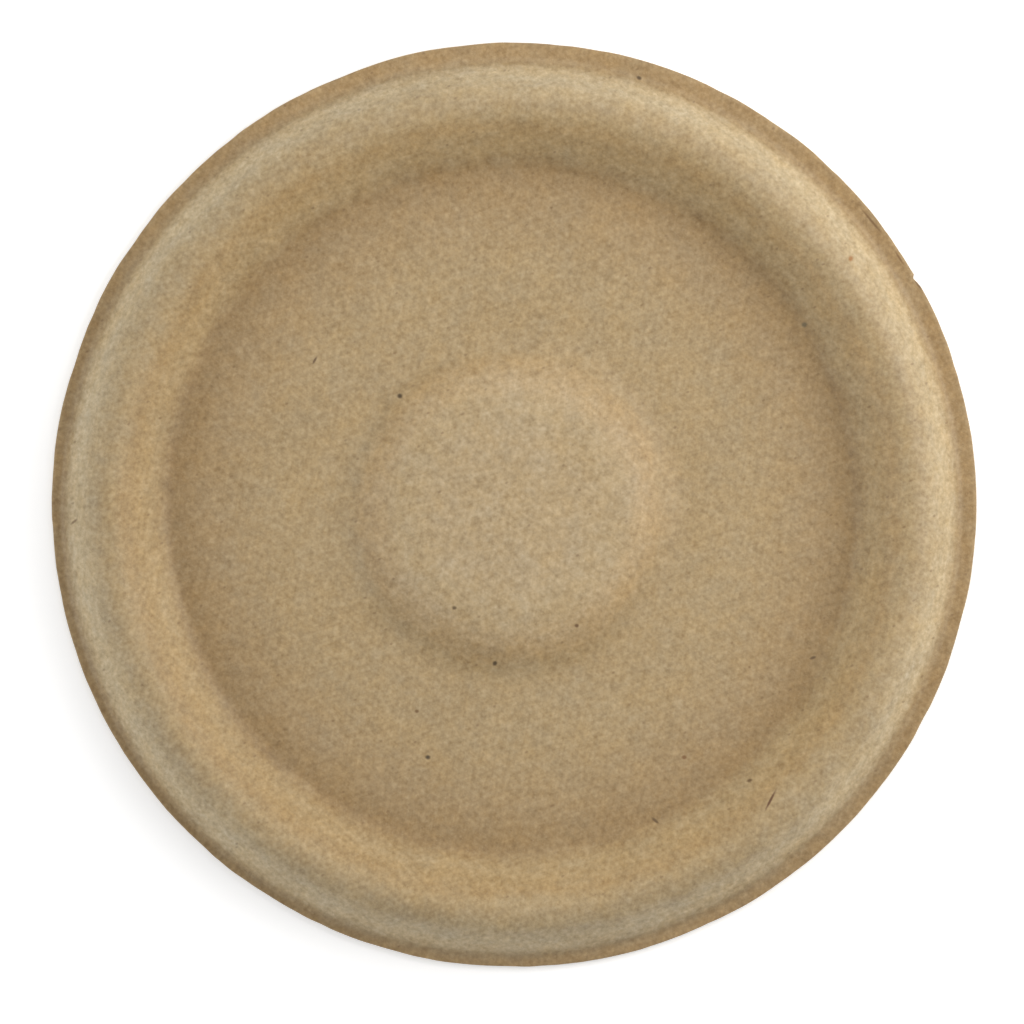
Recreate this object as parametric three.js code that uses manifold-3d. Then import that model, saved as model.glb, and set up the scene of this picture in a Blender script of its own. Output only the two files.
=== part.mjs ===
import * as THREE from 'three';
import { mergeVertices } from 'three/addons/utils/BufferGeometryUtils.js';
import Module from 'manifold-3d';

// Push-on lid of a small portion cup, pressed in one piece from plant fibre.
// All sizes are in millimetres and +Z is up. The lid lies face up on its flange:
// the origin is the centre of the round trimmed edge, in the flange's underside.

// Overall sizes
const wall = 0.7;
const trimDiameter = 66;
const beadHeight = 5;

// The pressed form sits a little off the centre of the trimmed edge
const formOffsetX = -0.21;
const formOffsetY = -0.31;

// Flange, between the foot of the bead's skirt and the trimmed edge
const flangeWidth = 1.06;
const flangeFillet = 0.5;

// Bead that grips the cup's rim
const skirtAngle = 63;
const crownRadius = 1.7;
const shoulderAngle = 30;
const shoulderWidth = 0.95;
const shoulderFillet = 2;

// Recess that plugs the cup's mouth
const plugAngle = 46.5;
const plugFillet = 1.4;
const panelLift = 1;

// Low dome in the middle of the panel
const domeDiameter = 23.8;
const domeHeight = 2.1;
const domeAngle = 33;
const domeCrownRadius = 6.7;
const domeFootRadius = 2.9;

// Small nick torn out of the trimmed edge, deepest a little to one side of its middle
const nickAzimuth = 29.1;
const nickDepth = 0.19;
const nickLength = 1.1;
const nickSkew = 0.25;

// Fineness of the round surfaces
const roundSegments = 64;
const trimSegments = 128;
const arcStep = 18;

// Spare material outside the trimmed edge, and reach of a cutting tool past what it cuts
const trimAllowance = 2;
const cutOverrun = 1;
const mergeTolerance = 1e-4;

const rad = THREE.MathUtils.degToRad;
const trimRadius = trimDiameter / 2;

const wasm = await Module();
wasm.setup();

// Joins the points that coincide and drops the empty triangles at the axis
function toSolid(geometry) {
  geometry.deleteAttribute('normal');
  geometry.deleteAttribute('uv');
  const merged = mergeVertices(geometry, mergeTolerance);
  const index = merged.index.array;
  const triangles = [];
  for (let i = 0; i < index.length; i += 3) {
    const [a, b, c] = [index[i], index[i + 1], index[i + 2]];
    if (a !== b && b !== c && c !== a) {
      triangles.push(a, b, c);
    }
  }
  return new wasm.Manifold(new wasm.Mesh({
    numProp: 3,
    vertProperties: new Float32Array(merged.attributes.position.array),
    triVerts: new Uint32Array(triangles),
  }));
}

function toGeometry(solid) {
  const mesh = solid.getMesh();
  const geometry = new THREE.BufferGeometry();
  geometry.setAttribute('position', new THREE.BufferAttribute(mesh.vertProperties, 3));
  geometry.setIndex(new THREE.BufferAttribute(mesh.triVerts, 1));
  geometry.computeVertexNormals();
  return geometry;
}

// Corners of the lid's upper face on a radial section, from the axis outwards
function sectionCorners() {
  const flangeTop = wall;
  const panelTop = panelLift + wall;
  const domeTop = panelTop + domeHeight;
  const domeFoot = domeDiameter / 2;
  const domeEdge = domeFoot - domeHeight / Math.tan(rad(domeAngle));

  const skirtFoot = trimRadius - flangeWidth;
  const skirtTop = skirtFoot - (beadHeight - flangeTop) / Math.tan(rad(skirtAngle));
  const crown = skirtTop - crownRadius * Math.tan(rad(skirtAngle / 2));
  const shoulderTop = crown - crownRadius * Math.tan(rad(shoulderAngle / 2));
  const shoulder = crown - crownRadius * Math.sin(rad(shoulderAngle)) - shoulderWidth;
  const shoulderHeight = beadHeight - (shoulderTop - shoulder) * Math.tan(rad(shoulderAngle));
  const plugFoot = shoulder - (shoulderHeight - panelTop) / Math.tan(rad(plugAngle));

  return [
    { r: 0, z: domeTop, fillet: 0 },
    { r: domeEdge, z: domeTop, fillet: domeCrownRadius },
    { r: domeFoot, z: panelTop, fillet: domeFootRadius },
    { r: plugFoot, z: panelTop, fillet: plugFillet },
    { r: shoulder, z: shoulderHeight, fillet: shoulderFillet },
    { r: shoulderTop, z: beadHeight, fillet: crownRadius },
    { r: skirtTop, z: beadHeight, fillet: crownRadius },
    { r: skirtFoot, z: flangeTop, fillet: flangeFillet },
    { r: trimRadius + trimAllowance, z: flangeTop, fillet: 0 },
  ];
}

// Rounds the corners of a section line. Each point also carries its upward normal.
function roundedLine(corners) {
  const runs = corners.slice(1).map((corner, i) => ({
    length: Math.hypot(corner.r - corners[i].r, corner.z - corners[i].z),
    heading: Math.atan2(corner.z - corners[i].z, corner.r - corners[i].r),
  }));
  const tangents = corners.map((corner, i) => {
    const inside = i > 0 && i < runs.length;
    const turn = inside ? runs[i].heading - runs[i - 1].heading : 0;
    return corner.fillet * Math.tan(Math.abs(turn) / 2);
  });
  const points = [];
  const addPoint = (r, z, heading) => {
    points.push({ r, z, normal: [-Math.sin(heading), Math.cos(heading)] });
  };

  addPoint(corners[0].r, corners[0].z, runs[0].heading);
  for (let i = 1; i < runs.length; i += 1) {
    const [before, after] = [runs[i - 1], runs[i]];
    const turn = after.heading - before.heading;
    // Two fillets on one run shrink together until the run holds both
    const room = Math.min(
      1,
      before.length / (tangents[i - 1] + tangents[i]),
      after.length / (tangents[i] + tangents[i + 1]),
    );
    const tangent = tangents[i] * room;
    const radius = corners[i].fillet * room;
    const side = Math.sign(turn);
    const startR = corners[i].r - tangent * Math.cos(before.heading);
    const startZ = corners[i].z - tangent * Math.sin(before.heading);
    const centreR = startR - side * radius * Math.sin(before.heading);
    const centreZ = startZ + side * radius * Math.cos(before.heading);
    const steps = Math.ceil(Math.abs(turn) / rad(arcStep));
    for (let k = 0; k <= steps; k += 1) {
      const heading = before.heading + (turn * k) / steps;
      addPoint(
        centreR + side * radius * Math.sin(heading),
        centreZ - side * radius * Math.cos(heading),
        heading,
      );
    }
  }
  const last = corners[corners.length - 1];
  addPoint(last.r, last.z, runs[runs.length - 1].heading);
  return points;
}

// Sheet of even thickness under the rounded section line, turned about the form's axis
function pressedForm() {
  const upper = roundedLine(sectionCorners()).map(({ r, z }) => new THREE.Vector2(r, z));
  const lower = roundedLine(sectionCorners()).map(({ r, z, normal }) => (
    new THREE.Vector2(r - wall * normal[0], z - wall * normal[1])
  ));
  const profile = [...lower, ...upper.reverse()];
  const form = new THREE.LatheGeometry(profile, roundSegments);
  form.rotateX(Math.PI / 2);
  form.translate(formOffsetX, formOffsetY, 0);
  return toSolid(form);
}

// Round blade that trims the flange
function trimDisc() {
  const height = beadHeight + 2 * cutOverrun;
  const disc = new THREE.CylinderGeometry(trimRadius, trimRadius, height, trimSegments);
  disc.rotateX(Math.PI / 2);
  disc.translate(0, 0, height / 2 - cutOverrun);
  return toSolid(disc);
}

// Wedge with one steep end, which tears the nick out of the edge
function nickWedge() {
  const inner = trimRadius - nickDepth;
  const outer = trimRadius + cutOverrun;
  const outline = new THREE.Shape([
    new THREE.Vector2(outer, -nickLength / 2),
    new THREE.Vector2(outer, nickLength / 2),
    new THREE.Vector2(trimRadius, nickLength / 2),
    new THREE.Vector2(inner, nickSkew),
    new THREE.Vector2(trimRadius, -nickLength / 2),
  ]);
  const depth = wall + 2 * cutOverrun;
  const wedge = new THREE.ExtrudeGeometry(outline, { depth, bevelEnabled: false });
  wedge.translate(0, 0, -cutOverrun);
  wedge.rotateZ(rad(nickAzimuth));
  return toSolid(wedge);
}

const fibre = new THREE.MeshStandardMaterial({ color: 0xae9673, roughness: 0.85, metalness: 0 });

const lid = new THREE.Mesh(
  toGeometry(pressedForm().intersect(trimDisc()).subtract(nickWedge())),
  fibre,
);
lid.name = 'lid';

const part = new THREE.Group();
part.name = 'portion_cup_lid';
part.add(lid);

export default part;
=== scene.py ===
import math

import bpy
import numpy as np
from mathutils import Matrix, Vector


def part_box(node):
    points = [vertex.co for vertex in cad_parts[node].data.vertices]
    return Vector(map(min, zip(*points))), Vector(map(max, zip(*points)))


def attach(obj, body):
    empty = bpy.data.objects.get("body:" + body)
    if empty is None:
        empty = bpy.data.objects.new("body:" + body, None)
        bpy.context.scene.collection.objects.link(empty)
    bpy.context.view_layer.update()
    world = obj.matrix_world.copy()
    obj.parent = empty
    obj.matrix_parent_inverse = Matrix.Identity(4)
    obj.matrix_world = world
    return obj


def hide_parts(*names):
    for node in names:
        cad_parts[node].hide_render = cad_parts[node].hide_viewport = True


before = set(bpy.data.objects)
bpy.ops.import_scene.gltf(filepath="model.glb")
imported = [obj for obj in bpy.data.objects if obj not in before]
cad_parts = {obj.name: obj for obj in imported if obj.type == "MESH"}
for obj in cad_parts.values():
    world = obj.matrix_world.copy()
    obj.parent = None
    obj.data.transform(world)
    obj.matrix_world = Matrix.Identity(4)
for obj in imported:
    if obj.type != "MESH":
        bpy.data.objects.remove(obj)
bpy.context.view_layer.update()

# The lid is a sheet of pressed plant fibre. Lengths are in metres, except where a
# comment says millimetres.
MM = 0.001
lid_low, lid_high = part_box("lid")

WALL = 0.7 * MM
TRIM_RADIUS = (lid_high.x - lid_low.x) / 2
BEAD_HEIGHT = lid_high.z
FORM_OFFSET = np.array([-0.21, -0.31]) * MM

FLANGE_WIDTH = 1.06 * MM
FLANGE_FILLET = 0.28 * MM
SKIRT_ANGLE = math.radians(63)
CROWN_RADIUS = 1.7 * MM
SHOULDER_ANGLE = math.radians(30)
SHOULDER_WIDTH = 0.95 * MM
SHOULDER_FILLET = 2.0 * MM
PLUG_ANGLE = math.radians(46.5)
PLUG_FILLET = 1.4 * MM
PANEL_LIFT = 1.0 * MM
DOME_RADIUS = 11.9 * MM
DOME_HEIGHT = 2.1 * MM
DOME_ANGLE = math.radians(33)
DOME_CROWN_RADIUS = 6.7 * MM
DOME_FOOT_RADIUS = 2.9 * MM

# Fineness of the mesh
EVEN_SPOKES = 480
SPOKES = 504
UPPER_SPACING = 0.34 * MM
LOWER_SPACING = 0.62 * MM
ARC_STEP = math.radians(3)
FLANGE_RINGS = 5
EDGE_RINGS = 3

# Random relief. A ripple says its shortest and longest wave and how many waves it adds up.
SEED = 20

# Trimmed edge: its unevenness ends at a limit, and the edge is set in to leave room for it
EDGE_ROUNDING = 0.06 * MM
EDGE_RAGGEDNESS = 0.012 * MM
EDGE_RIPPLE = (0.9 * MM, 6 * MM, 60)
EDGE_LIMIT = 2.0
EDGE_ROOM = 2.2

# Nick in the edge, by places along it as shares of its length, and the depth at each
NICK_AZIMUTH = math.radians(29.1)
NICK_DEPTH = 0.2 * MM
NICK_LENGTH = 1.1 * MM
NICK_PLACES = [-0.6, -0.15, 0.25, 0.42]
NICK_SHARES = [0, 0.45, 1, 0]

# Unevenness of the pressed sheet: slow waves, fine grain, and wrinkles across the bead
WAVE_HEIGHT = 0.028 * MM
WAVE_RIPPLE = (5 * MM, 16 * MM, 80)
GRAIN_HEIGHT = 0.007 * MM
GRAIN_RIPPLE = (1.1 * MM, 2.6 * MM, 200)
WRINKLE_HEIGHT = 0.016 * MM
WRINKLE_RIPPLE = (0.9 * MM, 2.4 * MM, 120)
WRINKLE_STRETCH = 0.4
WRINKLE_RADII = np.array([27.5, 29.0, 31.0, 31.8]) * MM
WRINKLE_SHARES = [0, 1, 1, 0]

# Sizes of the patterns in the fibre, and how much each weighs in its tone
STRAND_TURNS = (18, 78, 138)
STRAND_SIZE = 0.8 * MM
STRAND_STRETCH = 3.0
STRAND_WEIGHT = 0.6
FELT_WEIGHT = 0.70
FLUFF_SIZE = 0.2 * MM
FLUFF_WEIGHT = 0.09
CLOUD_SIZE = 6 * MM
CLOUD_WEIGHT = 0.12
HUE_SIZE = 2.4 * MM
BEND_SIZE = 1.6 * MM
BEND = 0.5 * MM

# Display colours from the dark to the pale fibre, and its hue from warm to cool
TONES = [(0.3, (170, 145, 107)), (0.5, (196, 172, 134)), (0.7, (218, 195, 158))]
HUES = [(0.3, (1.04, 1.00, 0.91)), (0.7, (0.96, 1.00, 1.09))]

# Short loose fibres: one may lie in each cell of a pattern, and a share of the cells has one
DARK_SHREDS = {
    "turns": (12, 72, 131),
    "pitch": 0.9 * MM,
    "length": 0.95 * MM,
    "width": 0.13 * MM,
    "share": 0.16,
    "strength": 0.26,
    "colour": (112, 84, 55),
}
PALE_SHREDS = {
    "turns": (41, 103, 160),
    "pitch": 0.8 * MM,
    "length": 1.1 * MM,
    "width": 0.12 * MM,
    "share": 0.2,
    "strength": 0.16,
    "colour": (226, 208, 176),
}
SPECKS = {
    "turns": (30,),
    "pitch": 2.1 * MM,
    "length": 0.24 * MM,
    "width": 0.16 * MM,
    "share": 0.2,
    "strength": 0.42,
    "colour": (110, 82, 52),
}
SHRED_CORE = 0.4

# The mesh says 1 on the upper face, 0.5 on the cut edge and 0 on the underside. These are
# the values between which each of the three fades in or out.
UPPER_FADE = (0.6, 0.9)
UNDER_FADE = (0.0, 0.4)
CUT_FADE = (0.2, 0.5)
CUT_STRENGTH = 0.7
CUT_COLOUR = (206, 186, 152)

# Surface: fine bumps, and on the underside the weave of the screen the fibre drained on
BUMP_SIZE = 0.6 * MM
BUMP_HEIGHT = 0.045 * MM
SCREEN_PITCH = 0.6 * MM
WEAVE_SHARE = 0.3
ROUGHNESS = 0.6
SPECULAR = 0.5

# Sway of the zones' borders, in millimetres, which fades out between two radii
SWAY = 1.6
SWAY_FADE = (29, 31)

# Tint by distance from the form's axis, in millimetres. Part is the fibre's own tone, such
# as the browner flange. Part is painted light: a lighter dome flank; painted shade on the
# panel near the wall, darkest at the wall's foot; a wall painted lighter and golden, partly
# painted light; and a pale, greyer band over the bead's outer shoulder that is a painted
# sheen and highlight.
ZONE_TINTS_AND_PAINTED_LIGHT = [
    (5.2, (0.81, 0.80, 0.77)),
    (6.9, (0.79, 0.78, 0.74)),
    (8.2, (0.81, 0.80, 0.76)),
    (9.2, (0.83, 0.80, 0.74)),
    (10.6, (0.81, 0.76, 0.66)),
    (11.3, (0.73, 0.70, 0.62)),
    (12.4, (0.73, 0.70, 0.62)),
    (17.0, (0.73, 0.70, 0.62)),
    (21.6, (0.66, 0.61, 0.52)),
    (24.4, (0.57, 0.50, 0.38)),
    (24.9, (0.70, 0.65, 0.55)),
    (25.6, (0.81, 0.78, 0.69)),
    (26.4, (0.82, 0.77, 0.65)),
    (27.3, (0.74, 0.67, 0.53)),
    (28.1, (0.76, 0.73, 0.64)),
    (29.0, (0.71, 0.69, 0.63)),
    (30.2, (0.86, 0.87, 0.84)),
    (30.8, (0.95, 0.99, 1.00)),
    (31.2, (1.00, 1.03, 1.03)),
    (31.6, (0.90, 0.91, 0.89)),
    (31.9, (0.70, 0.66, 0.59)),
    (32.5, (0.67, 0.60, 0.48)),
]

# Single dark bits in the sheet, and one painted shade in the nick: place, length and width
# in millimetres, turn in degrees and display colour
BITS = [
    (-8.13, 7.76, 0.36, 0.34, 0, (58, 44, 28)),
    (-1.36, -11.29, 0.36, 0.30, 40, (66, 54, 38)),
    (-6.14, -17.99, 0.34, 0.30, 0, (56, 46, 34)),
    (8.92, 30.45, 0.38, 0.26, 150, (70, 52, 30)),
    (23.94, 17.50, 0.40, 0.32, 70, (152, 102, 48)),
    (20.69, 12.83, 0.40, 0.36, 0, (108, 96, 70)),
    (18.22, -21.00, 1.50, 0.17, 62, (92, 56, 36)),
    (10.06, -22.50, 0.62, 0.20, 140, (96, 74, 48)),
    (-31.33, -1.20, 0.60, 0.17, 38, (122, 94, 60)),
    (-4.24, -7.33, 0.30, 0.26, 0, (96, 78, 54)),
    (-6.92, -14.71, 0.30, 0.24, 0, (110, 80, 46)),
    (4.46, -8.60, 0.30, 0.26, 0, (104, 76, 50)),
    (16.76, -19.62, 0.40, 0.22, 20, (104, 80, 52)),
    (12.13, -17.99, 0.34, 0.30, 0, (120, 84, 48)),
    (25.50, 20.25, 2.10, 0.17, -50, (120, 92, 58)),
    (27.50, 17.60, 0.90, 0.15, -57, (126, 96, 60)),
    # Painted shade where the edge steps in at the nick
    (28.78, 15.78, 1.05, 0.17, -56, (112, 84, 52)),
    (-14.20, 10.30, 0.60, 0.16, 60, (98, 74, 52)),
    (21.30, -10.90, 0.46, 0.20, 20, (98, 76, 52)),
]

BIT_STRENGTH = 0.85
BIT_BORDER = (1.35, 0.55)

# Floor: its grey for the light that bounces off it, then what the camera sees
FLOOR_HALF = 3.0
FLOOR_DROP = 0.02 * MM
FLOOR_GREY = 0.8
FLOOR_SEEN = 0.95
FLOOR_GLOW = 0.3

WORLD_COLOUR = (0.97, 0.98, 1.0)
WORLD_LEVEL = 0.40

# Camera, in the photograph's frame of 1024 by 1024 pixels. Its sensor is in millimetres.
IMAGE_SIZE = 1024
TRIM_RADIUS_PX = 462.6
TRIM_CENTRE_PX = (514.0, 504.8)
CAMERA_DISTANCE = 1.0
SENSOR_WIDTH = 36.0

# Places of the colour sockets on Blender's mix node
MIX_FIRST = 6
MIX_SECOND = 7
MIX_RESULT = 2


def section_corners():
    """Corners of the upper face on a radial section, from the axis outwards."""
    panel = PANEL_LIFT + WALL
    dome = panel + DOME_HEIGHT
    dome_edge = DOME_RADIUS - DOME_HEIGHT / math.tan(DOME_ANGLE)
    skirt_foot = TRIM_RADIUS - FLANGE_WIDTH
    skirt_top = skirt_foot - (BEAD_HEIGHT - WALL) / math.tan(SKIRT_ANGLE)
    crown = skirt_top - CROWN_RADIUS * math.tan(SKIRT_ANGLE / 2)
    shoulder_top = crown - CROWN_RADIUS * math.tan(SHOULDER_ANGLE / 2)
    shoulder = crown - CROWN_RADIUS * math.sin(SHOULDER_ANGLE) - SHOULDER_WIDTH
    shoulder_z = BEAD_HEIGHT - (shoulder_top - shoulder) * math.tan(SHOULDER_ANGLE)
    plug_foot = shoulder - (shoulder_z - panel) / math.tan(PLUG_ANGLE)
    return [
        (0, dome, 0),
        (dome_edge, dome, DOME_CROWN_RADIUS),
        (DOME_RADIUS, panel, DOME_FOOT_RADIUS),
        (plug_foot, panel, PLUG_FILLET),
        (shoulder, shoulder_z, SHOULDER_FILLET),
        (shoulder_top, BEAD_HEIGHT, CROWN_RADIUS),
        (skirt_top, BEAD_HEIGHT, CROWN_RADIUS),
        (skirt_foot, WALL, FLANGE_FILLET),
        (TRIM_RADIUS, WALL, 0),
    ]


def rounded_line(corners):
    """Points of the section line with its corners rounded, each with its heading."""
    runs = []
    for (r0, z0, _), (r1, z1, _) in zip(corners, corners[1:]):
        runs.append((math.hypot(r1 - r0, z1 - z0), math.atan2(z1 - z0, r1 - r0)))
    tangents = [0.0]
    for i in range(1, len(runs)):
        turn = runs[i][1] - runs[i - 1][1]
        tangents.append(corners[i][2] * math.tan(abs(turn) / 2))
    tangents.append(0.0)

    points = [(corners[0][0], corners[0][1], runs[0][1])]
    for i in range(1, len(runs)):
        before, after = runs[i - 1], runs[i]
        turn = after[1] - before[1]
        room = min(
            1.0,
            before[0] / (tangents[i - 1] + tangents[i]),
            after[0] / (tangents[i] + tangents[i + 1]),
        )
        tangent, radius = tangents[i] * room, corners[i][2] * room
        side = math.copysign(1, turn)
        start_r = corners[i][0] - tangent * math.cos(before[1])
        start_z = corners[i][1] - tangent * math.sin(before[1])
        centre_r = start_r - side * radius * math.sin(before[1])
        centre_z = start_z + side * radius * math.cos(before[1])
        steps = math.ceil(abs(turn) / ARC_STEP)
        for k in range(steps + 1):
            heading = before[1] + turn * k / steps
            r = centre_r + side * radius * math.sin(heading)
            z = centre_z - side * radius * math.cos(heading)
            points.append((r, z, heading))
    return np.array(points)


def evenly_spaced(line, spacing):
    """The section line walked at even steps."""
    steps = np.hypot(np.diff(line[:, 0]), np.diff(line[:, 1]))
    walked = np.concatenate([[0], np.cumsum(steps)])
    count = max(2, math.ceil(walked[-1] / spacing))
    stops = np.linspace(0, walked[-1], count + 1)
    return np.stack([np.interp(stops, walked, line[:, c]) for c in range(3)], axis=1)


def ripple(points, shortest, longest, waves, rng):
    """Smooth random relief over points in space, with unit spread."""
    directions = rng.normal(size=(waves, 3))
    directions /= np.linalg.norm(directions, axis=1)[:, None]
    lengths = np.exp(rng.uniform(math.log(shortest), math.log(longest), waves))
    phases = rng.uniform(0, 2 * math.pi, waves)
    total = np.zeros(len(points))
    for direction, length, phase in zip(directions, lengths, phases):
        total += np.cos(points @ direction * (2 * math.pi / length) + phase)
    return total * math.sqrt(2 / waves)


def bead_wrinkles(points, rng):
    """Short wrinkles across the bead, drawn out along the radius."""
    x, y = (points[:, :2] - FORM_OFFSET).T
    radius = np.hypot(x, y)
    azimuth = np.arctan2(y, x)
    around = TRIM_RADIUS * np.column_stack([np.cos(azimuth), np.sin(azimuth)])
    places = np.column_stack([around, WRINKLE_STRETCH * radius])
    wrinkles = ripple(places, *WRINKLE_RIPPLE, rng)
    return wrinkles * np.interp(radius, WRINKLE_RADII, WRINKLE_SHARES)


def trim_reach(angles, rng):
    """Distance from the form's axis to the trimmed edge, along each spoke."""
    heading = np.stack([np.cos(angles), np.sin(angles)], axis=1)
    along = heading @ FORM_OFFSET
    radius = TRIM_RADIUS - EDGE_RAGGEDNESS * EDGE_ROOM
    reach = -along + np.sqrt(along ** 2 + radius ** 2 - FORM_OFFSET @ FORM_OFFSET)
    edge = FORM_OFFSET + heading * reach[:, None]
    azimuth = np.arctan2(edge[:, 1], edge[:, 0])
    on_edge = np.column_stack([edge, np.zeros(len(edge))])
    ragged = ripple(on_edge, *EDGE_RIPPLE, rng)
    reach += EDGE_RAGGEDNESS * np.clip(ragged, -EDGE_LIMIT, EDGE_LIMIT)
    # One steep end and one long slope, as where a shred of the edge tore away
    arc = (azimuth - NICK_AZIMUTH) * TRIM_RADIUS / NICK_LENGTH
    tear = np.interp(arc, NICK_PLACES, NICK_SHARES)
    return reach - NICK_DEPTH * tear


def spoke_angles():
    """Even spokes about the form's axis, with finer ones across the nick."""
    outward = np.array([math.cos(NICK_AZIMUTH), math.sin(NICK_AZIMUTH)])
    nick = TRIM_RADIUS * outward - FORM_OFFSET
    middle = math.atan2(nick[1], nick[0])
    reach = NICK_LENGTH / TRIM_RADIUS
    even = np.linspace(0, 2 * math.pi, EVEN_SPOKES, endpoint=False)
    even = even[np.abs(even - middle) > reach]
    fine = np.linspace(middle - reach, middle + reach, SPOKES - len(even))
    return np.sort(np.concatenate([even, fine]))


def pressed_rings(line, spacing, thickness):
    """Rings of the pressed line, a thickness below its upper face."""
    rings = []
    for r, z, heading in evenly_spaced(line, spacing):
        ring_r = r + thickness * math.sin(heading)
        ring_z = z - thickness * math.cos(heading)
        rings.append((np.full(SPOKES, ring_r), np.full(SPOKES, ring_z)))
    return rings


def flange_rings(start, reach, z):
    """Rings from the end of the pressed line to the rounding of the trimmed edge."""
    rings = []
    for k in range(1, FLANGE_RINGS + 1):
        ring_r = start + (reach - EDGE_ROUNDING - start) * k / FLANGE_RINGS
        rings.append((ring_r, np.full(SPOKES, z)))
    return rings


def lid_rings(rng):
    """Rings of points over the upper face, down the cut edge and back under the lid."""
    line = rounded_line(section_corners())
    angles = spoke_angles()
    reach = trim_reach(angles, rng)
    pressed = line[:-1]
    flange_start = line[-2, 0]

    upper = pressed_rings(pressed, UPPER_SPACING, 0.0)
    upper += flange_rings(flange_start, reach, WALL)
    lower = pressed_rings(pressed, LOWER_SPACING, WALL)
    lower += flange_rings(flange_start, reach, 0.0)
    edge = []
    for z in np.linspace(WALL - EDGE_ROUNDING, EDGE_ROUNDING, EDGE_RINGS):
        edge.append((reach, np.full(SPOKES, z)))

    rings = upper + edge + lower[::-1]
    radii = np.array([r for r, _ in rings])
    heights = np.array([z for _, z in rings])
    face = np.array([1.0] * len(upper) + [0.5] * len(edge) + [0.0] * len(lower))
    return radii, heights, angles, face


def ring_points(radii, heights, angles):
    """Points of the rings, with the first and last ring as one point each at the end."""
    x = FORM_OFFSET[0] + radii * np.cos(angles)
    y = FORM_OFFSET[1] + radii * np.sin(angles)
    grid = np.stack([x, y, heights], axis=2)
    return np.vstack([grid[1:-1].reshape(-1, 3), grid[0, 0], grid[-1, 0]])


def ring_faces(rows):
    """Quads between the rings, and a fan of triangles round each point on the axis."""
    spoke = np.arange(SPOKES)
    after = (spoke + 1) % SPOKES
    last = (rows - 1) * SPOKES
    top = np.full(SPOKES, rows * SPOKES)
    bottom = top + 1
    faces = np.stack([top, spoke, after], axis=1).tolist()
    for row in range(rows - 1):
        a = row * SPOKES + spoke
        b = row * SPOKES + after
        c = (row + 1) * SPOKES + after
        d = (row + 1) * SPOKES + spoke
        faces.extend(np.stack([a, d, c, b], axis=1).tolist())
    faces.extend(np.stack([bottom, last + after, last + spoke], axis=1).tolist())
    return faces


def unevenness(points, rng):
    """How far each point lies above the smooth sheet."""
    height = WAVE_HEIGHT * ripple(points, *WAVE_RIPPLE, rng)
    height += GRAIN_HEIGHT * ripple(points, *GRAIN_RIPPLE, rng)
    height += WRINKLE_HEIGHT * bead_wrinkles(points, rng)
    return height


def keep_in_size(points):
    """Moves what is past the lid's height or round edge back to it."""
    points[:, 2] = np.clip(points[:, 2], 0.0, BEAD_HEIGHT)
    out = np.hypot(points[:, 0], points[:, 1])
    points[:, :2] *= np.minimum(1, TRIM_RADIUS / np.maximum(out, WALL))[:, None]


def lid_mesh():
    """One closed mesh of the pressed sheet, with the sheet's gentle unevenness."""
    rng = np.random.default_rng(SEED)
    radii, heights, angles, face = lid_rings(rng)
    points = ring_points(radii, heights, angles)
    mesh = bpy.data.meshes.new("fibre_lid")
    mesh.from_pydata(points.tolist(), [], ring_faces(len(radii) - 2))
    mesh.update()

    normals = np.empty(len(points) * 3)
    mesh.vertex_normals.foreach_get("vector", normals)
    moved = points + normals.reshape(-1, 3) * unevenness(points, rng)[:, None]
    keep_in_size(moved)
    mesh.vertices.foreach_set("co", moved.ravel())
    side = np.concatenate([np.repeat(face[1:-1], SPOKES), [1.0, 0.0]])
    mesh.attributes.new("side", "FLOAT", "POINT").data.foreach_set("value", side)
    mesh.shade_smooth()
    mesh.update()
    return mesh


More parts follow.
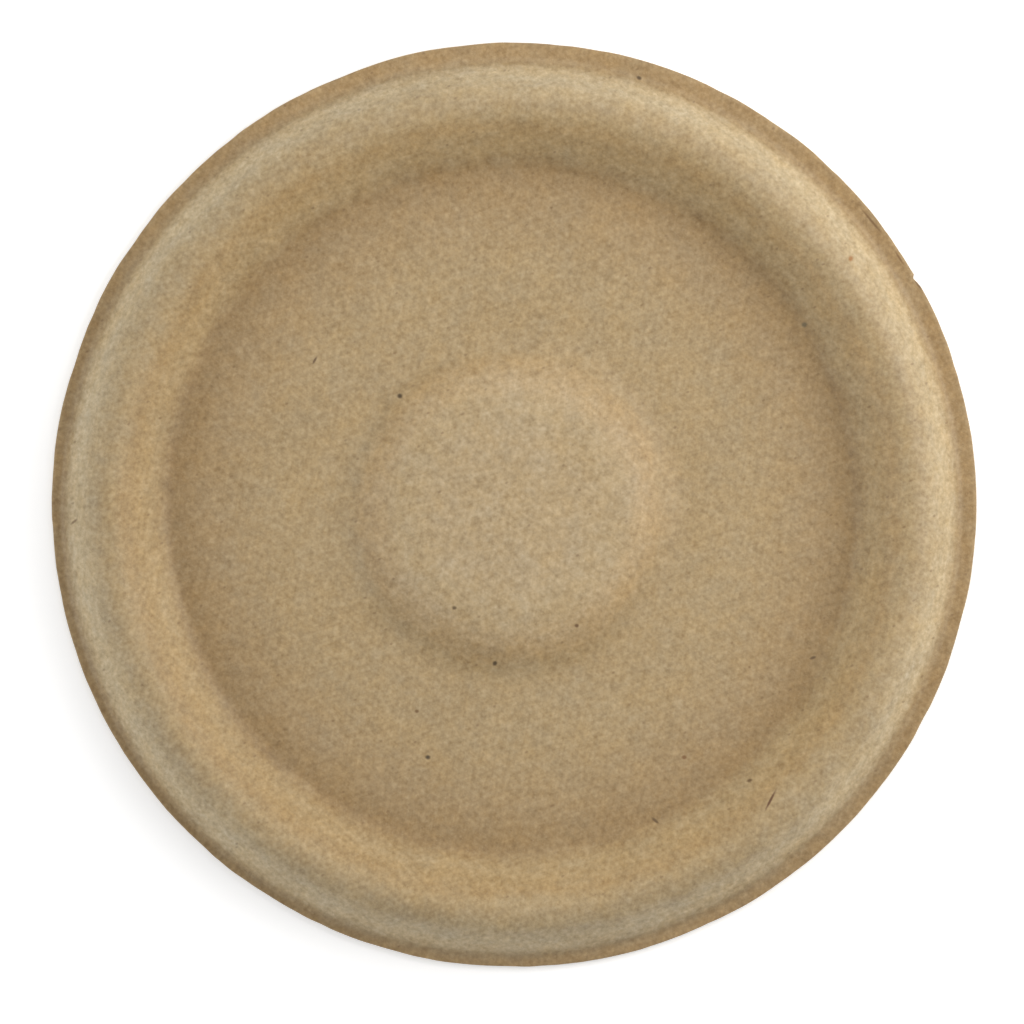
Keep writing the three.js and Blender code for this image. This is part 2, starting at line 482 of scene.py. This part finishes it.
class Nodes:
    """Short calls for adding and wiring shader nodes."""

    def __init__(self, name):
        self.material = bpy.data.materials.new(name)
        self.material.use_nodes = True
        self.tree = self.material.node_tree
        self.tree.nodes.clear()

    def add(self, kind, **settings):
        node = self.tree.nodes.new(kind)
        for key, value in settings.items():
            setattr(node, key, value)
        return node

    def link(self, source, target):
        self.tree.links.new(source, target)

    def math(self, operation, a, b=None):
        node = self.add("ShaderNodeMath", operation=operation)
        for socket, value in zip(node.inputs, (a, b)):
            if value is None:
                continue
            if isinstance(value, (int, float)):
                socket.default_value = value
            else:
                self.link(value, socket)
        return node.outputs[0]

    def weighted(self, parts):
        """Sum of fields about their middle of 0.5, each by its weight."""
        total = 0.5
        for field, weight in parts:
            swing = self.math("SUBTRACT", field, 0.5)
            total = self.math("ADD", self.math("MULTIPLY", swing, weight), total)
        return total

    def vector(self, operation, a, b):
        node = self.add("ShaderNodeVectorMath", operation=operation)
        self.link(a, node.inputs[0])
        second = node.inputs["Scale"] if operation == "SCALE" else node.inputs[1]
        if isinstance(b, (float, tuple)):
            second.default_value = b
        else:
            self.link(b, second)
        return node.outputs[0]

    def grey_vector(self, value):
        node = self.add("ShaderNodeCombineXYZ")
        for socket in node.inputs:
            self.link(value, socket)
        return node.outputs[0]

    def length(self, vector):
        node = self.add("ShaderNodeVectorMath", operation="LENGTH")
        self.link(vector, node.inputs[0])
        return node.outputs["Value"]

    def noise(self, vector, size, detail=2.0, rough=0.5):
        node = self.add("ShaderNodeTexNoise")
        node.inputs["Scale"].default_value = 1 / size
        node.inputs["Detail"].default_value = detail
        node.inputs["Roughness"].default_value = rough
        self.link(vector, node.inputs["Vector"])
        return node.outputs["Fac"]

    def stretched(self, vector, turn, stretch):
        node = self.add("ShaderNodeMapping", vector_type="TEXTURE")
        node.inputs["Rotation"].default_value = (0, 0, math.radians(turn))
        node.inputs["Scale"].default_value = (1, 1 / stretch, 1)
        self.link(vector, node.inputs["Vector"])
        return node.outputs["Vector"]

    def ramp(self, value, stops):
        node = self.add("ShaderNodeValToRGB")
        elements = node.color_ramp.elements
        while len(elements) < len(stops):
            elements.new(0.5)
        for element, (position, colour) in zip(elements, stops):
            element.position = position
            element.color = (*colour, 1)
        self.link(value, node.inputs["Fac"])
        return node.outputs["Color"]

    def span(self, value, low, high, to_low=0.0, to_high=1.0):
        node = self.add("ShaderNodeMapRange")
        node.inputs["From Min"].default_value = low
        node.inputs["From Max"].default_value = high
        node.inputs["To Min"].default_value = to_low
        node.inputs["To Max"].default_value = to_high
        self.link(value, node.inputs["Value"])
        return node.outputs["Result"]

    def mix(self, share, a, b, blend="MIX"):
        node = self.add("ShaderNodeMix", data_type="RGBA", blend_type=blend)
        sockets = (node.inputs["Factor"], node.inputs[MIX_FIRST], node.inputs[MIX_SECOND])
        for socket, value in zip(sockets, (share, a, b)):
            if isinstance(value, (int, float)):
                socket.default_value = value
            elif isinstance(value, tuple):
                socket.default_value = (*value, 1)
            else:
                self.link(value, socket)
        return node.outputs[MIX_RESULT]


def srgb(red, green, blue):
    """A display colour, 0 to 255, as the linear colour that the shader takes."""
    def linear(value):
        value = value / 255
        return value / 12.92 if value <= 0.04045 else ((value + 0.055) / 1.055) ** 2.4
    return tuple(linear(v) for v in (red, green, blue))


def tint_and_painted_light(n, where, cloud):
    """Tint by distance from the form's axis, partly the fibre's tone and partly painted
    shade, painted light and a painted highlight, with wavy borders inside the bead.
    """
    form = n.vector("SUBTRACT", where, (*FORM_OFFSET, 0))
    flat = n.vector("MULTIPLY", form, (1, 1, 0))
    radius = n.math("DIVIDE", n.length(flat), MM)
    swing = n.math("SUBTRACT", cloud, 0.5)
    sway = n.math("MULTIPLY", swing, n.span(radius, *SWAY_FADE, SWAY, 0.0))
    radius = n.math("ADD", radius, sway)
    outer = ZONE_TINTS_AND_PAINTED_LIGHT[-1][0]
    stops = [(limit / outer, tint) for limit, tint in ZONE_TINTS_AND_PAINTED_LIGHT]
    return n.ramp(n.math("DIVIDE", radius, outer), stops)


def shreds(n, where, turn, kind):
    """Scattered short fibres that lie one way: 1 on a fibre, 0 beside it."""
    width = kind["width"] / kind["pitch"]
    node = n.add("ShaderNodeTexVoronoi", voronoi_dimensions="2D")
    node.inputs["Scale"].default_value = 1 / kind["pitch"]
    drawn = n.stretched(where, turn, kind["length"] / kind["width"])
    n.link(drawn, node.inputs["Vector"])
    pick = n.add("ShaderNodeSeparateColor")
    n.link(node.outputs["Color"], pick.inputs[0])
    near = n.span(node.outputs["Distance"], width, SHRED_CORE * width)
    chosen = n.math("LESS_THAN", pick.outputs[0], kind["share"])
    return n.math("MULTIPLY", near, chosen)


def add_shreds(n, colour, where, kind):
    """The colour with one kind of short fibres over it, in each of their directions."""
    for turn in kind["turns"]:
        cover = n.math("MULTIPLY", shreds(n, where, turn, kind), kind["strength"])
        colour = n.mix(cover, colour, srgb(*kind["colour"]))
    return colour


def bit_mask(n, where, place, length, width, turn):
    """1 inside one small oval bit of the sheet, with a soft border."""
    node = n.add("ShaderNodeMapping", vector_type="TEXTURE")
    node.inputs["Location"].default_value = (*place, 0)
    node.inputs["Rotation"].default_value = (0, 0, math.radians(turn))
    node.inputs["Scale"].default_value = (length / 2, width / 2, 1)
    n.link(n.vector("MULTIPLY", where, (1, 1, 0)), node.inputs["Vector"])
    return n.span(n.length(node.outputs["Vector"]), *BIT_BORDER)


def add_bits(n, colour, where, side):
    """The colour with the single dark bits in it, one being painted shade at the nick, on
    the upper face only.
    """
    strength = n.span(side, *UPPER_FADE, 0.0, BIT_STRENGTH)
    for x, y, length, width, turn, shade in BITS:
        mask = bit_mask(n, where, (x * MM, y * MM), length * MM, width * MM, turn)
        colour = n.mix(n.math("MULTIPLY", mask, strength), colour, srgb(*shade))
    return colour


def fibre_tone(n, where, felt, cloud):
    """The fibre's own colour, before the tint by zone and the loose fibres."""
    fluff = n.noise(where, FLUFF_SIZE, detail=2.0, rough=0.6)
    tone = n.weighted([(felt, FELT_WEIGHT), (fluff, FLUFF_WEIGHT), (cloud, CLOUD_WEIGHT)])
    colour = n.ramp(tone, [(place, srgb(*shade)) for place, shade in TONES])
    hue = n.noise(where, HUE_SIZE, detail=5.0, rough=0.8)
    return n.mix(1.0, colour, n.ramp(hue, HUES), "MULTIPLY")


def fibre_colour(n, where, side):
    strands = []
    for turn in STRAND_TURNS:
        drawn = n.stretched(where, turn, STRAND_STRETCH)
        strands.append((n.noise(drawn, STRAND_SIZE, detail=2.5, rough=0.6), STRAND_WEIGHT))
    felt = n.weighted(strands)
    cloud = n.noise(where, CLOUD_SIZE, detail=3.0, rough=0.55)
    colour = fibre_tone(n, where, felt, cloud)
    # The zone tint holds painted shade near the wall and a painted sheen and highlight over
    # the bead
    colour = n.mix(1.0, colour, tint_and_painted_light(n, where, cloud), "MULTIPLY")

    wavy = n.grey_vector(n.noise(where, BEND_SIZE, detail=1.0))
    bent = n.vector("ADD", where, n.vector("SCALE", wavy, BEND))
    colour = add_shreds(n, colour, bent, DARK_SHREDS)
    colour = add_shreds(n, colour, bent, PALE_SHREDS)
    colour = add_shreds(n, colour, where, SPECKS)
    colour = add_bits(n, colour, where, side)

    # The value is 0.5 on the cut edge only
    from_edge = n.math("ABSOLUTE", n.math("SUBTRACT", side, 0.5))
    cut = n.math("SUBTRACT", 0.5, from_edge)
    return n.mix(n.span(cut, *CUT_FADE, 0.0, CUT_STRENGTH), colour, srgb(*CUT_COLOUR))


def screen_weave(n, where, side):
    """Weave of the drainage screen, on the underside only."""
    across = n.add("ShaderNodeSeparateXYZ")
    n.link(where, across.inputs[0])
    rows = []
    for axis in (0, 1):
        phase = n.math("MULTIPLY", across.outputs[axis], 2 * math.pi / SCREEN_PITCH)
        rows.append(n.math("SINE", phase))
    weave = n.math("MULTIPLY", rows[0], rows[1])
    return n.math("MULTIPLY", weave, n.span(side, *UNDER_FADE, WEAVE_SHARE, 0.0))


def fibre_material():
    n = Nodes("pressed_fibre")
    where = n.add("ShaderNodeTexCoord").outputs["Object"]
    side = n.add("ShaderNodeAttribute", attribute_name="side").outputs["Fac"]

    relief = n.noise(where, BUMP_SIZE, detail=2.5, rough=0.6)
    bump = n.add("ShaderNodeBump")
    bump.inputs["Strength"].default_value = 1.0
    bump.inputs["Distance"].default_value = BUMP_HEIGHT
    n.link(n.math("ADD", relief, screen_weave(n, where, side)), bump.inputs["Height"])

    surface = n.add("ShaderNodeBsdfPrincipled")
    surface.inputs["Roughness"].default_value = ROUGHNESS
    surface.inputs["Specular IOR Level"].default_value = SPECULAR
    n.link(fibre_colour(n, where, side), surface.inputs["Base Color"])
    n.link(bump.outputs["Normal"], surface.inputs["Normal"])
    output = n.add("ShaderNodeOutputMaterial")
    n.link(surface.outputs["BSDF"], output.inputs["Surface"])
    return n.material


def floor_material():
    """Pale card, which the camera, mirrors and glass see as near white."""
    n = Nodes("pale_floor")
    rays = n.add("ShaderNodeLightPath")
    seen = n.math("MAXIMUM", rays.outputs["Is Camera Ray"], rays.outputs["Is Glossy Ray"])
    seen = n.math("MAXIMUM", seen, rays.outputs["Is Transmission Ray"])
    plain = n.add("ShaderNodeBsdfDiffuse")
    plain.inputs["Color"].default_value = (FLOOR_GREY, FLOOR_GREY, FLOOR_GREY, 1)
    bright = n.add("ShaderNodeBsdfDiffuse")
    bright.inputs["Color"].default_value = (FLOOR_SEEN, FLOOR_SEEN, FLOOR_SEEN, 1)
    glow = n.add("ShaderNodeEmission")
    glow.inputs["Strength"].default_value = FLOOR_GLOW
    lifted = n.add("ShaderNodeAddShader")
    n.link(bright.outputs[0], lifted.inputs[0])
    n.link(glow.outputs[0], lifted.inputs[1])
    choice = n.add("ShaderNodeMixShader")
    n.link(seen, choice.inputs[0])
    n.link(plain.outputs[0], choice.inputs[1])
    n.link(lifted.outputs[0], choice.inputs[2])
    output = n.add("ShaderNodeOutputMaterial")
    n.link(choice.outputs[0], output.inputs["Surface"])
    return n.material


def add_object(name, data):
    thing = bpy.data.objects.new(name, data)
    bpy.context.scene.collection.objects.link(thing)
    return thing


def add_lid():
    lid = add_object("fibre_lid", lid_mesh())
    lid.data.materials.append(fibre_material())
    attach(lid, "root")
    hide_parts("lid")


def add_floor():
    mesh = bpy.data.meshes.new("floor")
    corners = []
    for x, y in ((-1, -1), (1, -1), (1, 1), (-1, 1)):
        corners.append((x * FLOOR_HALF, y * FLOOR_HALF, -FLOOR_DROP))
    mesh.from_pydata(corners, [], [(0, 1, 2, 3)])
    floor = add_object("floor", mesh)
    floor.data.materials.append(floor_material())


def add_lamp(name, azimuth, elevation, distance, size, level, colour):
    """Soft lamp aimed at the lid. Level is how bright a white card facing it gets."""
    lamp = bpy.data.lights.new(name, "AREA")
    lamp.shape = "DISK"
    lamp.size = size
    lamp.energy = level * (math.pi * distance) ** 2
    lamp.color = colour
    a = math.radians(azimuth)
    e = math.radians(elevation)
    away = Vector((math.cos(a) * math.cos(e), math.sin(a) * math.cos(e), math.sin(e)))
    thing = add_object(name, lamp)
    thing.location = away * distance
    thing.rotation_mode = "QUATERNION"
    thing.rotation_quaternion = away.to_track_quat("Z", "Y")


def add_light():
    add_lamp(
        "key", azimuth=18, elevation=38, distance=0.26, size=0.20,
        level=0.69, colour=(1.0, 0.97, 0.93),
    )
    add_lamp(
        "left_fill", azimuth=188, elevation=30, distance=0.50, size=0.30,
        level=0.31, colour=(0.95, 0.97, 0.99),
    )
    add_lamp(
        "back_fill", azimuth=88, elevation=45, distance=0.20, size=0.15,
        level=0.20, colour=(1.0, 0.97, 0.91),
    )
    world = bpy.data.worlds.new("studio")
    world.use_nodes = True
    background = world.node_tree.nodes["Background"]
    background.inputs["Color"].default_value = (*WORLD_COLOUR, 1)
    background.inputs["Strength"].default_value = WORLD_LEVEL
    bpy.context.scene.world = world


def add_camera():
    pixel = TRIM_RADIUS / TRIM_RADIUS_PX
    aim_x = (IMAGE_SIZE / 2 - TRIM_CENTRE_PX[0]) * pixel
    aim_y = (TRIM_CENTRE_PX[1] - IMAGE_SIZE / 2) * pixel
    camera = bpy.data.cameras.new("camera")
    camera.type = "PERSP"
    camera.sensor_width = SENSOR_WIDTH
    camera.lens = SENSOR_WIDTH * CAMERA_DISTANCE / (IMAGE_SIZE * pixel)
    thing = add_object("camera", camera)
    thing.location = (aim_x, aim_y, WALL + CAMERA_DISTANCE)
    bpy.context.scene.camera = thing


def main():
    add_camera()
    add_lid()
    add_floor()
    add_light()
    bpy.context.scene.view_settings.view_transform = "Standard"


main()
